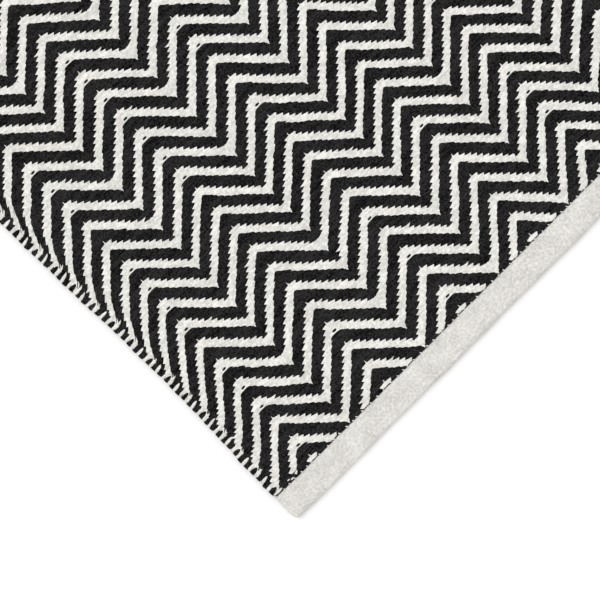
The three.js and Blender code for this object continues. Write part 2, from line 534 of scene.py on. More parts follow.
# How much of a yarn's tone comes from the float as a whole, from its fibres and from its mottle,
# and the part of that range that is stretched between the deep and the pale colour
# The fibres' share darkens the colour where their relief sinks, in part a painted shade
YARN_SHARES = (0.15, 0.22, 0.63)
YARN_RANGE = (0.3, 0.76)
YARN_TWIST = 0.42
MOTTLE_STRETCH = (0.8, 1.1, 1.0)
FIBRE_RELIEF = 0.35 * MM

# The same for the canvas, from its threads, its slubs and its soiled patches. The threads' share is painted
# shade, darker where the weave sinks between threads.
CANVAS_SHARES = (0.20, 0.50, 0.30)
CANVAS_UNEVENNESS = 0.9
SLUBS_PER_METRE = 430.0
SOILED_PATCHES_PER_METRE = 55.0
SLUB_RELIEF = 0.5
CANVAS_RELIEF = 0.30 * MM

# Each yarn's name, patches of tone per metre, strength of relief and gloss
YARNS = {"light": ("Off-white wool", 480.0, 0.35, 0.1), "dark": ("Black wool", 760.0, 0.7, 0.04)}
WOOL_FIBRES = 2300.0

# Fibres per metre, patches of tone per metre and strength of relief
WARP_LOOK = (1500.0, 90.0, 0.5)
THREAD_LOOK = (4200.0, 200.0, 0.5)


def new_material(name, roughness, gloss=0.25):
    """A material with its shader's node."""
    material = bpy.data.materials.new(name)
    material.use_nodes = True
    shader = material.node_tree.nodes["Principled BSDF"]
    shader.inputs["Roughness"].default_value = roughness
    shader.inputs["Specular IOR Level"].default_value = gloss
    return material, shader


def raise_surface(tree, shader, height, distance, strength):
    """Fine relief from a height."""
    bump = add_node(tree, "ShaderNodeBump", {"Height": height, "Distance": distance, "Strength": strength})
    tree.links.new(bump.outputs[0], shader.inputs["Normal"])


def yarn_material(name, deep, pale, fibres, patches, relief, gloss=0.1):
    """Spun yarn: each float has its own tone, under fibres and a soft mottle. The fibres darken the colour
    where their relief sinks, in part a painted shade.
    """
    material, shader = new_material(name, 0.88, gloss)
    tree = material.node_tree
    place = add_node(tree, "ShaderNodeTexCoord").outputs["Object"]
    tone = add_node(tree, "ShaderNodeAttribute", attribute_name="tone").outputs["Fac"]
    fibre = use_effect(
        tree, "Spun fibre", {"Vector": place, "Fibres per metre": fibres, "Twist": YARN_TWIST, "Shift": tone}
    )
    stretched = calculate_vector(tree, "MULTIPLY", place, MOTTLE_STRETCH)
    mottle = use_effect(tree, "Mottled tone", {"Vector": stretched, "Patches per metre": patches})
    # The fibre share darkens the colour where the fibre relief sinks, in part a painted shade
    share = weighted_sum(tree, *zip((tone, fibre["Fibre"], mottle["Tone"]), YARN_SHARES))
    share = spread_between(tree, share, *YARN_RANGE)
    tree.links.new(blend_colours(tree, share, deep, pale), shader.inputs["Base Color"])
    raise_surface(tree, shader, fibre["Height"], FIBRE_RELIEF, relief)
    return material


def yarn(kind):
    """The material of the light or the dark yarn, made once."""
    name, patches, relief, gloss = YARNS[kind]
    if name in bpy.data.materials:
        return bpy.data.materials[name]
    colours = bpy.context.scene.rug_yarn
    deep = getattr(colours, f"{kind}_deep")
    pale = getattr(colours, f"{kind}_pale")
    return yarn_material(name, deep, pale, WOOL_FIBRES, patches, relief, gloss)


def canvas_material(canvas):
    """Undyed cotton canvas with slubs and slightly soiled patches, and painted shade between its threads."""
    material, shader = new_material("Undyed canvas", 0.9)
    tree = material.node_tree
    strip = add_node(tree, "ShaderNodeUVMap", uv_map="Strip").outputs[0]
    threads = {"Threads per metre": 1.0 / canvas.thread_pitch, "Unevenness": CANVAS_UNEVENNESS}
    height = use_effect(tree, "Plain weave", {"Vector": strip, **threads})["Height"]
    slubs, patches = (
        use_effect(tree, "Mottled tone", {"Vector": strip, "Patches per metre": count})["Tone"]
        for count in (SLUBS_PER_METRE, SOILED_PATCHES_PER_METRE)
    )
    # The weave's height darkens the colour between the threads: painted shade
    share = weighted_sum(tree, *zip((height, slubs, patches), CANVAS_SHARES))
    tree.links.new(blend_colours(tree, share, canvas.deep, canvas.pale), shader.inputs["Base Color"])
    uneven = calculate(tree, "ADD", height, calculate(tree, "MULTIPLY", slubs, SLUB_RELIEF))
    raise_surface(tree, shader, uneven, CANVAS_RELIEF, 0.6)
    return material


def floor_material(stage):
    """A pale floor with a barely uneven tone."""
    material, shader = new_material("Pale floor", 0.8)
    tree = material.node_tree
    place = add_node(tree, "ShaderNodeTexCoord").outputs["Object"]
    tone = use_effect(tree, "Mottled tone", {"Vector": place, "Patches per metre": 3.0})["Tone"]
    pale = tuple(stage.floor_colour)
    deep = tuple(0.985 * part for part in pale)
    tree.links.new(blend_colours(tree, tone, deep, pale), shader.inputs["Base Color"])
    return material


# Small closed meshes that the yarn is laid from

def domed_float(lines, shares, left, right, columns, height, rises=(1.0, 1.0)):
    """A float as a closed dome: lines of points along it, with both its ends low.

    lines are its places across the yarn in rows, shares each line's share of the height, and
    left and right how far each line stops short of the run's ends in columns. rises are the
    heights of its two ends against its middle.
    """
    half = columns / 2
    last = len(lines) - 1
    vertices = []
    for index, line in enumerate(lines):
        edge = {0: -SPREAD, last: SPREAD}.get(index, 0.0)
        start = -half + left[index] - SPREAD
        end = half - right[index] + SPREAD
        if end - start < LEAST_LINE:
            middle = (start + end) / 2
            start = middle - LEAST_LINE / 2
            end = middle + LEAST_LINE / 2
        ease = min(END_EASE, 0.3 * (end - start))
        top = height * shares[index]
        vertices += [
            (start, line + edge, END_FOOT),
            (start + ease, line + edge, top * rises[0]),
            (end - ease, line + edge, top * rises[1]),
            (end, line + edge, END_FOOT),
        ]
    count = len(vertices) // len(lines)
    faces = []
    for row in range(last):
        for station in range(count - 1):
            corner = row * count + station
            faces.append((corner, corner + 1, corner + count + 1, corner + count))
    ring = list(range(count))
    ring += [row * count + count - 1 for row in range(1, last)]
    ring += list(range(last * count + count - 1, last * count - 1, -1))
    ring += [row * count for row in range(last - 1, 0, -1)]
    faces.append(tuple(reversed(ring)))
    return vertices, faces


def pillow(outline, height, rim_height, grow):
    """A closed pillow over any small outline, from the height of its rim to that of its middle."""
    crown_reach = 0.6
    crown_share = 0.85
    points = np.array(outline, dtype=float)
    turn = np.sum(points[:, 0] * np.roll(points[:, 1], -1) - points[:, 1] * np.roll(points[:, 0], -1))
    if turn < 0:
        points = points[::-1]
    middle = points.mean(axis=0)
    away = points - middle
    length = np.maximum(np.linalg.norm(away, axis=1, keepdims=True), 1e-6)
    rim = points + away / length * grow
    inner = middle + (points - middle) * crown_reach
    crown = rim_height + crown_share * (height - rim_height)
    vertices = [(x, y, rim_height) for x, y in rim]
    vertices += [(x, y, crown) for x, y in inner]
    vertices.append((middle[0], middle[1], height))
    size = len(points)
    faces = []
    for k in range(size):
        after = (k + 1) % size
        faces.append((k, after, size + after, size + k))
        faces.append((size + k, size + after, 2 * size))
    faces.append(tuple(range(size - 1, -1, -1)))
    return vertices, faces


def small_form(name, height):
    """The mesh of one of the small forms where the zigzag turns."""
    outline, crown, rim, grow = SMALL_FORMS[name]
    return pillow(outline, crown * height, rim * height, grow)


def oval(middle, half_width, half_height, corners=8):
    """Points of an oval."""
    angles = [2 * math.pi * k / corners for k in range(corners)]
    return [(middle[0] + half_width * math.cos(a), middle[1] + half_height * math.sin(a)) for a in angles]


def tube_faces(rings, size):
    """Faces round a tube of rings that have size points each."""
    faces = []
    for ring in range(rings - 1):
        for k in range(size):
            a = ring * size + k
            b = ring * size + (k + 1) % size
            faces.append((a, b, b + size, a + size))
    return faces


def selvedge_turn(length, half_width, side, proud):
    """One turn of weft round the outer warp, from a point on the face to a point beneath.

    The edge of the cloth is at x 0 and the cloth lies towards side. Millimetres.
    """
    half_thick = 0.62
    shares = (0.0, 0.12, 0.4, 0.75)
    bend_steps = 6
    sides = 8
    widening = 1.12
    tip_thickness = 0.45
    middle = CLOTH_TOP / MM / 2
    bend = middle - half_thick
    centre = bend + half_thick - proud
    path = []
    for share in shares:
        path.append((length - (length - centre) * share, 2 * middle - half_thick, 0.0, 1.0, share))
    for step in range(1, bend_steps):
        angle = math.pi * (0.5 + step / bend_steps)
        out_x = math.cos(angle)
        out_z = math.sin(angle)
        path.append((centre + bend * out_x, middle + bend * out_z, out_x, out_z, 1.0))
    for share in reversed(shares):
        path.append((length - (length - centre) * share, half_thick, 0.0, -1.0, share))
    vertices = []
    for x, z, out_x, out_z, share in path[1:-1]:
        wide = half_width * min(1.0, math.sqrt(share) * widening)
        thick = half_thick * min(1.0, tip_thickness + share)
        for k in range(sides):
            angle = 2 * math.pi * k / sides
            reach = thick * math.sin(angle)
            vertices.append((side * (x + out_x * reach), wide * math.cos(angle), z + out_z * reach))
    rings = len(path) - 2
    faces = tube_faces(rings, sides)
    for tip, ring, flip in ((path[0], 0, True), (path[-1], rings - 1, False)):
        vertices.append((side * tip[0], 0.0, tip[1]))
        point = len(vertices) - 1
        for k in range(sides):
            a = ring * sides + k
            b = ring * sides + (k + 1) % sides
            faces.append((b, a, point) if flip else (a, b, point))
    if side < 0:
        faces = [tuple(reversed(face)) for face in faces]
    return vertices, faces


def thread_loop(length, width, height, sides=6, rings=5):
    """A short stitch along X that rises out of the cloth and goes back into it."""
    vertices = []
    for ring in range(1, rings):
        share = ring / rings
        x = length * (share - 0.5)
        z = height * math.sin(math.pi * share)
        for k in range(sides):
            angle = 2 * math.pi * k / sides
            vertices.append((x, 0.5 * width * math.cos(angle), z + 0.4 * width * math.sin(angle)))
    faces = [(a, d, c, b) for a, b, c, d in tube_faces(rings - 1, sides)]
    first = len(vertices)
    vertices.append((-0.5 * length, 0.0, -0.5 * width))
    vertices.append((0.5 * length, 0.0, -0.5 * width))
    for k in range(sides):
        following = (k + 1) % sides
        faces.append((k, following, first))
        faces.append(((rings - 2) * sides + following, (rings - 2) * sides + k, first + 1))
    return vertices, faces


def turned_shape(shape, angle):
    """A small mesh turned about Z, with its vertices as an array."""
    vertices, faces = shape
    return np.array(vertices) @ np.array(Matrix.Rotation(angle, 3, "Z")), faces


# Laying copies of the small meshes

def mesh_from(name, vertices, faces):
    """A mesh from its vertices and faces."""
    mesh = bpy.data.meshes.new(name)
    mesh.from_pydata([tuple(map(float, vertex)) for vertex in vertices], [], faces)
    mesh.validate()
    return mesh


def sharpen_underside(mesh):
    """Makes the rim of a many-cornered underside sharp, so that it doesn't shade the top."""
    rims = {key for face in mesh.polygons if len(face.vertices) > 4 for key in face.edge_keys}
    for edge in mesh.edges:
        edge.use_edge_sharp = edge.key in rims


LAYING_TREE = "Lay yarn"


def laying_tree():
    """A geometry tree that lays one of several small meshes at each point."""
    tree = bpy.data.node_groups.new(LAYING_TREE, "GeometryNodeTree")
    sockets = (
        ("Points", "NodeSocketGeometry", None),
        ("Shapes", "NodeSocketCollection", None),
        ("Size variation", "NodeSocketVector", (0.02, 0.03, 0.06)),
        ("Turn variation", "NodeSocketFloat", 0.02),
        ("Place variation", "NodeSocketVector", (0.0003, 0.0001, 0.00005)),
        ("Seed", "NodeSocketInt", 1),
        ("Material", "NodeSocketMaterial", None),
    )
    add_inputs(tree, sockets)
    tree.interface.new_socket("Laid", in_out="OUTPUT", socket_type="NodeSocketGeometry")
    start = tree.nodes.new("NodeGroupInput").outputs
    end = tree.nodes.new("NodeGroupOutput")

    def varied(amount, middle, seed_step):
        """A random vector round a middle value."""
        low = add_node(tree, "ShaderNodeVectorMath", {0: middle, 1: amount}, operation="SUBTRACT")
        high = add_node(tree, "ShaderNodeVectorMath", {0: middle, 1: amount}, operation="ADD")
        seed = add_node(tree, "ShaderNodeMath", {0: start["Seed"], 1: seed_step}, operation="ADD")
        return add_node(
            tree, "FunctionNodeRandomValue",
            {"Min": low.outputs[0], "Max": high.outputs[0], "Seed": seed.outputs[0]},
            data_type="FLOAT_VECTOR",
        ).outputs[0]

    shapes = add_node(tree, "GeometryNodeCollectionInfo", {"Collection": start["Shapes"]})
    shapes.inputs["Separate Children"].default_value = True
    kind = add_node(tree, "GeometryNodeInputNamedAttribute", {"Name": "kind"}, data_type="INT")
    turn_amount = add_node(tree, "ShaderNodeCombineXYZ", {"Z": start["Turn variation"]})
    laid = add_node(
        tree, "GeometryNodeInstanceOnPoints",
        {
            "Points": start["Points"],
            "Instance": shapes.outputs[0],
            "Pick Instance": True,
            "Instance Index": live_socket(kind.outputs, "Attribute"),
            "Rotation": varied(turn_amount.outputs[0], (0, 0, 0), 11),
            "Scale": varied(start["Size variation"], (1, 1, 1), 23),
        },
    )
    moved = add_node(
        tree, "GeometryNodeTranslateInstances",
        {"Instances": laid.outputs[0], "Translation": varied(start["Place variation"], (0, 0, 0), 37)},
    )
    tone = add_node(
        tree, "FunctionNodeRandomValue", {"Min": 0.0, "Max": 1.0, "Seed": start["Seed"]}, data_type="FLOAT"
    )
    toned = add_node(
        tree, "GeometryNodeStoreNamedAttribute",
        {"Geometry": moved.outputs[0], "Name": "tone", "Value": live_socket(tone.outputs, "Value")},
        data_type="FLOAT", domain="INSTANCE",
    )
    real = add_node(tree, "GeometryNodeRealizeInstances", {"Geometry": toned.outputs[0]})
    smooth = add_node(tree, "GeometryNodeSetShadeSmooth", {"Geometry": real.outputs[0]})
    finished = add_node(
        tree, "GeometryNodeSetMaterial", {"Geometry": smooth.outputs[0], "Material": start["Material"]}
    )
    tree.links.new(finished.outputs[0], end.inputs[0])
    return tree


def lay_shapes(name, shapes, places, kinds, material, seed, variation):
    """The mesh made by laying shapes[kind] at each place through the geometry tree."""
    collection = bpy.data.collections.new(f"{name} shapes")
    for index, (vertices, faces) in enumerate(shapes):
        mesh = mesh_from(f"{name} shape {index:03d}", vertices, faces)
        sharpen_underside(mesh)
        mesh.materials.append(material)
        collection.objects.link(bpy.data.objects.new(f"{name} shape {index:03d}", mesh))
    points = bpy.data.meshes.new(f"{name} places")
    points.from_pydata([tuple(map(float, place)) for place in places], [], [])
    attribute = points.attributes.new("kind", "INT", "POINT")
    attribute.data.foreach_set("value", np.array(kinds, dtype=np.int32))
    carrier = bpy.data.objects.new(f"{name} places", points)
    bpy.context.scene.collection.objects.link(carrier)
    tree = bpy.data.node_groups.get(LAYING_TREE) or laying_tree()
    modifier = carrier.modifiers.new("Lay", "NODES")
    modifier.node_group = tree
    values = {"Shapes": collection, "Seed": seed, "Material": material, **variation}
    for item in tree.interface.items_tree:
        if item.in_out == "INPUT" and item.name in values:
            modifier[item.identifier] = values[item.name]
    bpy.context.view_layer.update()
    evaluated = carrier.evaluated_get(bpy.context.evaluated_depsgraph_get())
    mesh = bpy.data.meshes.new_from_object(evaluated)
    mesh.name = name
    if not mesh.polygons:
        raise RuntimeError(f"{name}: nothing was laid")
    bpy.data.objects.remove(carrier)
    for child in list(collection.objects):
        bpy.data.objects.remove(child)
    bpy.data.collections.remove(collection)
    return mesh


def vertex_places(mesh):
    """A mesh's vertices as an array."""
    flat = np.empty(3 * len(mesh.vertices))
    mesh.vertices.foreach_get("co", flat)
    return flat.reshape(-1, 3)


def set_vertex_places(mesh, places):
    """Moves a mesh's vertices to an array of places."""
    mesh.vertices.foreach_set("co", places.ravel())
    mesh.update()


def finish_piece(mesh, name, replaced=()):
    """Links a mesh as a piece of the rug."""
    piece = bpy.data.objects.new(name, mesh)
    bpy.context.scene.collection.objects.link(piece)
    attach(piece, "root")
    if replaced:
        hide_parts(*replaced)
    return piece


# How the cloth lies

def smooth_through(entries, at):
    """A smooth curve through pairs of a place and a value, read at an array of places."""
    places = np.array([place for place, _ in entries], dtype=float)
    values = np.array([value for _, value in entries], dtype=float)
    slopes = np.gradient(values, places)
    at = np.clip(at, places[0], places[-1])
    index = np.clip(np.searchsorted(places, at) - 1, 0, len(places) - 2)
    span = places[index + 1] - places[index]
    t = (at - places[index]) / span
    rise = (3 - 2 * t) * t * t
    leave = slopes[index] * span * t * (1 - t) ** 2
    arrive = slopes[index + 1] * span * t * t * (1 - t)
    return values[index] + (values[index + 1] - values[index]) * rise + leave - arrive


def selvedge_outline(side):
    """Places along the rug and how far this selvedge is drawn in there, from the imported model."""
    places = vertex_places(frame["nodes"][FIELD].data)
    level = np.abs(places[:, 2] - CLOTH_TOP / 2) < 0.1 * MM
    between = (places[:, 1] > WOVEN_START - 0.1 * MM) & (places[:, 1] < WOVEN_END + 0.1 * MM)
    edge = places[level & between & (side * places[:, 0] > 0)]
    order = np.unique(np.round(edge[:, 1], 5), return_index=True)[1]
    edge = edge[order]
    outermost = edge[1::2]
    return outermost[:, 1], HALF_WIDTH - np.abs(outermost[:, 0])


OUTLINES = {side: selvedge_outline(side) for side in (-1, 1)}


def drawn_in(side, y):
    """How far a selvedge is drawn in at places along the rug."""
    along, inward = OUTLINES[side]
    return np.interp(y, along, inward, left=inward[0], right=inward[-1])


def fade(distance, start, end):
    """0 before start, 1 after end, and smooth between."""
    t = np.clip((distance - start) / (end - start), 0, 1)
    return t * t * (3 - 2 * t)


def lie(places):
    """Moves straight cloth to how it lies: drawn-in selvedges, and rows that lean and bow."""
    x = smooth_through(WARP_PLACES, places[:, 0] / WARP_PITCH) * MM
    y = places[:, 1]
    along = (y - RUG_START) / MM
    from_left = x + HALF_WIDTH
    from_right = HALF_WIDTH - x
    across = from_left / MM
    near_left = 1 - fade(from_left, *PULL_REACH)
    near_right = 1 - fade(from_right, *PULL_REACH)
    pull = drawn_in(-1, y) * near_left - drawn_in(1, y) * near_right
    spread_left = (1 - near_left) * (1 - fade(from_left, *LEFT_PULL_REACH))
    pull += smooth_through(LEFT_PULL, along) * MM * spread_left
    free = fade(y - WOVEN_START, *BINDING_REACH) * fade(WOVEN_END - y, *BINDING_REACH)
    edge = 1 - fade(np.minimum(from_left, from_right), *EDGE_REACH)
    inside = fade(from_left, *INSIDE_REACH)
    rise = smooth_through(EDGE_RISE, along) * edge
    rise += smooth_through(LEFT_RISE, along) * (1 - edge) * (1 - inside)
    bow = smooth_through(ROW_RISE, along) + smooth_through(ACROSS_RISE, x / MM) * free
    rise += bow * inside * (1 - edge)
    ripple_x = np.zeros_like(x)
    ripple_y = np.zeros_like(y)
    slant_x, slant_y = RIPPLE_SLANTS
    for length, height, phase in RIPPLES:
        ripple_x += height * np.sin(2 * math.pi * (along / length + slant_x * across / length) + phase)
        ripple_y += height * np.sin(2 * math.pi * (across / length - slant_y * along / length) + 2 * phase)
    moved = places.copy()
    moved[:, 0] = x + pull + ripple_x * MM * free
    moved[:, 1] = y + (rise + ripple_y * free) * MM
    return moved


def hold_between_bindings(places):
    """Keeps the ends of the woven field against the bindings."""
    held = places.copy()
    held[:, 1] = np.clip(held[:, 1], WOVEN_START - BINDING_TUCK, WOVEN_END + BINDING_TUCK)
    return held


def shows(places, margin):
    """Which places, once the cloth lies, are clear of the bindings."""
    y = lie(places)[:, 1]
    return (y > WOVEN_START + margin) & (y < WOVEN_END - margin)


# The draft of the weave

def zigzag(column):
    """Rows by which the zigzag has climbed at a column."""
    place = column - EDGE_COLUMNS
    past = max(-place, place - 2 * POINT_COLUMNS * ZIGZAGS)
    if past > 0:
        return -past
    step = place % (2 * POINT_COLUMNS)
    return min(step, 2 * POINT_COLUMNS - step)


def under_climb(column):
    """The underside shows the same zigzag with its two yarns exchanged."""
    return TWILL_ROWS - 2 - zigzag(column)


def runs(row, climb, missed=()):
    """Each run of columns with one yarn on top: first column, last column and its yarn."""
    leading = [(row - climb(column)) % TWILL_ROWS < TWILL_ROWS // 2 for column in range(COLUMNS)]
    for column in missed:
        leading[column + EDGE_COLUMNS] = False
    first = 0
    for column in range(1, COLUMNS + 1):
        if column == COLUMNS or leading[column] != leading[first]:
            yield first, column - 1, leading[first]
            first = column


def end_form(climb, column, step, leading):
    """The form of a run's end at a column: tucked at the selvedge, toothed or sloping."""
    beyond = column + step
    if beyond < 0 or beyond >= COLUMNS:
        return "tucked"
    climbs = climb(beyond) > climb(column)
    if leading:
        return "slope" if climbs else "tooth"
    return "tooth" if climbs else "slope"


# By whether the yarn leads: the outlines of a float's ends, how far they rise, and the places
# and heights of its lines
ENDS = {
    True: {"tooth": LEADING_TOOTH, "long tooth": LONG_TOOTH, "slope": LEADING_SLOPE, "tucked": TUCKED_END},
    False: {"tooth": FOLLOWING_TOOTH, "slope": FOLLOWING_SLOPE, "tucked": TUCKED_END},
}
RISES = {
    True: {"tooth": OVER, "long tooth": OVER, "slope": UNDER, "tucked": 1.0},
    False: {"tooth": UNDER, "slope": OVER, "tucked": 1.0},
}
SECTIONS = {True: (LEADING_LINES, LINE_HEIGHTS), False: (FOLLOWING_LINES, LINE_HEIGHTS)}


class ShapeShelf:
    """The small meshes of one yarn, each made once, and where copies of them go."""

    def __init__(self):
        self.index = {}
        self.shapes = []
        self.places = []
        self.kinds = []

    def add(self, key, make, place):
        """Notes a copy at a place, and makes its mesh the first time."""
        if key not in self.index:
            self.index[key] = len(self.shapes)
            self.shapes.append(make())
        self.places.append(place)
        self.kinds.append(self.index[key])


def float_maker(leading, left, right, columns, height, plain):
    """A function that makes the float of this form, with fewer lines where it is plain."""
    kept = PLAIN_LINES if plain else range(len(LEADING_LINES))
    parts = (*SECTIONS[leading], ENDS[leading][left], ENDS[leading][right])
    section = [[part[k] for k in kept] for part in parts]
    rises = (RISES[leading][left], RISES[leading][right])
    return lambda: domed_float(*section, columns, height, rises)


def peak_has_oval(column, row, chance):
    """Whether a bit of dark yarn shows inside the light line at a peak."""
    if column < CHARTED_COLUMNS and row < CHARTED_ROWS:
        return row in OVAL_PEAKS.get(column, ())
    return chance < OVAL_CHANCE


def draft_side(climb, weave, under, height):
    """Fills the shelves of the leading and the following yarn for one side of the cloth.

    The underside has neither the small forms nor the missed float of the face.
    """
    shelves = {True: ShapeShelf(), False: ShapeShelf()}
    chances = np.random.default_rng(weave.seed)
    middle_column = (COLUMNS - 1) / 2
    for row in range(weave.weft_rows):
        missed = MISSED_COLUMNS if row == MISSED_ROW and not under else ()
        for first, last, leading in runs(row, climb, missed):
            count = last - first + 1
            x = ((first + last) / 2 - middle_column) * WARP_PITCH
            leading_y, following_y = row_picks(weave, row, under)
            left = end_form(climb, first, -1, leading)
            right = end_form(climb, last, 1, leading)
            place = (x, leading_y if leading else following_y, 0.0)
            chance = chances.random()
            turned = {left, right} in ({"tooth"}, {"slope"})
            if turned and count in (1, 3) and not under:
                if lay_apex(shelves, leading, left, count, first - EDGE_COLUMNS, row, place, chance, height):
                    continue
            if leading and left == "tooth" and chance > 1 - LONG_CHANCE:
                left = "long tooth"
            if leading and right == "tooth" and LONG_CHANCE < chance < 2 * LONG_CHANCE:
                right = "long tooth"
            key = (left, right, count)
            shelves[leading].add(key, float_maker(leading, left, right, count, height, under), place)
    if not under:
        lay_flecks(shelves[True], weave, height)
    return shelves


def lay_flecks(light, weave, height):
    """Bits of light yarn beside the corner."""
    for number, (column, row, half_width, half_height) in enumerate(FLECKS):
        outline = oval((0, 0), half_width, half_height)
        x = (column + EDGE_COLUMNS - (COLUMNS - 1) / 2) * WARP_PITCH
        place = (x, row_picks(weave, row)[0], 0.0)
        light.add(f"fleck {number}", lambda: pillow(outline, FLECK_HEIGHT * height, height, 0.0), place)


def lay_apex(shelves, leading, form, count, column, row, place, chance, height):
    """Lays the forms of a turning point that differ from a plain float; False if none does."""
    def lay(shelf, name):
        """Lays a copy of a small form at this place."""
        shelf.add(name, lambda: small_form(name, height), place)

    light, dark = shelves[True], shelves[False]
    turning = (leading, form, count)
    if turning == (True, "tooth", 1):
        lay(dark, "tip")
        lay(light, "tick")
    elif turning == (True, "tooth", 3):
        section = (*SECTIONS[True], ROOF_END, ROOF_END)
        light.add("roof", lambda: domed_float(*section, count, height, (OVER, OVER)), place)
    elif turning == (False, "slope", 1) and peak_has_oval(column, row, chance):
        lay(dark, "shoulder")
        lay(light, "arch")
        crown, rim = SPOT_HEIGHTS
        dark.add("spot", lambda: pillow(oval(*SPOT), crown * height, rim * height, 0.0), place)
    elif turning == (False, "slope", 1):
        lay(dark, "spear")
    elif turning == (False, "tooth", 1) and chance < NOTCH_CHANCE:
        lay(light, "notch")
    elif turning == (False, "tooth", 1):
        lay(dark, "drop")
    else:
        if turning == (True, "slope", 1):
            lay(light, "tail")
        return False
    return True


def scaled_shapes(shapes, row_pitch):
    """Shapes in columns and rows made real sizes; their heights already are."""
    scale = np.array([WARP_PITCH, row_pitch, 1.0])
    return [((np.array(vertices) * scale).tolist(), faces) for vertices, faces in shapes]


def row_pitch_of(weave):
    """The distance from one row of the weave to the next."""
    return (WOVEN_END - WOVEN_START) / weave.weft_rows


def variation(size, turn, place):
    """How much laid copies vary: in size, in turn, and in place in millimetres."""
    shift = tuple(part * MM for part in place)
    return {"Size variation": size, "Turn variation": turn, "Place variation": shift}


YARN_VARIATION = variation((0.02, 0.03, 0.02), 0.02, (0.6, 0.13, 0.01))
TURN_VARIATION = variation((0.14, 0.12, 0.0), 0.09, (0.5, 0.5, 0.0))
STITCH_VARIATION = variation((0.15, 0.12, 0.1), 0.2, (0.5, 0.45, 0.0))

# A float is still laid where its middle is this many rows inside a binding. Towards the
# outermost warp the yarn is pressed flat, down to a share of its height and over a reach.
TUCKED_ROWS = 0.3
EDGE_FLATNESS = 0.1
EDGE_PRESSED = 11 * MM


def lay_yarn(name, shelf, weave, material, seed, turned_over, keep=None):
    """One piece of laid yarn on a side of the cloth, moved to how the cloth lies."""
    way = -1 if turned_over else 1
    places = np.array(shelf.places)
    chosen = shows(places * (1, way, 1), -TUCKED_ROWS * row_pitch_of(weave))
    if keep is not None:
        chosen &= keep(places[:, 1])
    kinds = np.array(shelf.kinds)[chosen]
    shapes = scaled_shapes(shelf.shapes, row_pitch_of(weave))
    mesh = lay_shapes(name, shapes, places[chosen], kinds, material, seed, YARN_VARIATION)
    points = vertex_places(mesh) * (1, way, way)
    level = weave.core_bottom if turned_over else weave.core_top
    outermost = (COLUMNS - 1) / 2 * WARP_PITCH
    from_edge = outermost - np.abs(points[:, 0])
    points[:, 0] = np.clip(points[:, 0], -outermost, outermost)
    pressed = EDGE_FLATNESS + (1 - EDGE_FLATNESS) * fade(from_edge, 0, EDGE_PRESSED)
    points[:, 2] = np.clip(points[:, 2] * pressed + level, 0.0, None)
    set_vertex_places(mesh, hold_between_bindings(lie(points)))
    return finish_piece(mesh, name)


def row_picks(weave, row, under=False):
    """Where the leading and the following pick of a row lie along the rug.

    The underside is the same cloth turned over end for end, where the dark pick leads.
    """
    pitch = row_pitch_of(weave)
    light_row = weave.weft_rows - 1 - row if under else row
    light = WOVEN_START + (light_row + 0.5) * pitch + weave.pick_offset
    dark = light - 0.5 * pitch
    return (-dark, -light) if under else (light, dark)


def grid_shell(columns_x, rows_y, bottom, top):
    """A closed sheet over a grid of places, flat below and above."""
    wide = len(columns_x)
    deep = len(rows_y)
    grid_x, grid_y = np.meshgrid(columns_x, rows_y)
    flat = np.stack([grid_x.ravel(), grid_y.ravel()], axis=1)
    bottoms = np.repeat(bottom, wide)
    tops = np.repeat(top, wide)
    vertices = np.concatenate([np.column_stack([flat, tops]), np.column_stack([flat, bottoms])])
    size = wide * deep
    faces = []
    for j in range(deep - 1):
        for i in range(wide - 1):
            a = j * wide + i
            faces.append((a, a + 1, a + wide + 1, a + wide))
            faces.append((size + a, size + a + wide, size + a + wide + 1, size + a + 1))
    for i in range(wide - 1):
        far = (deep - 1) * wide + i
        faces.append((i, size + i, size + i + 1, i + 1))
        faces.append((far, far + 1, size + far + 1, size + far))
    for j in range(deep - 1):
        left = j * wide
        right = left + wide - 1
        faces.append((left, left + wide, size + left + wide, size + left))
        faces.append((right, size + right, size + right + wide, right + wide))
    return vertices, faces


class RUG_OT_weft(bpy.types.Operator):
    """Lays the light and the dark weft on the face and on the underside"""

    bl_idname = "rug.weft"
    bl_label = "Lay the Weft"

    def execute(self, context):
        weave = context.scene.rug_weave
        height = CLOTH_TOP - weave.core_top
        face = draft_side(zigzag, weave, False, height)
        halves = {"near": lambda y: y < 0, "far": lambda y: y >= 0}
        for leading, kind in ((True, "light"), (False, "dark")):
            for half, keep in halves.items():
                name = f"face_{kind}_weft_{half}"
                lay_yarn(name, face[leading], weave, yarn(kind), weave.seed + len(name), False, keep)
        under = draft_side(under_climb, weave, True, UNDERSIDE_SHARE * height)
        for leading, kind in ((True, "dark"), (False, "light")):
            lay_yarn(f"under_{kind}_weft", under[leading], weave, yarn(kind), weave.seed + 50, True)
        return {"FINISHED"}


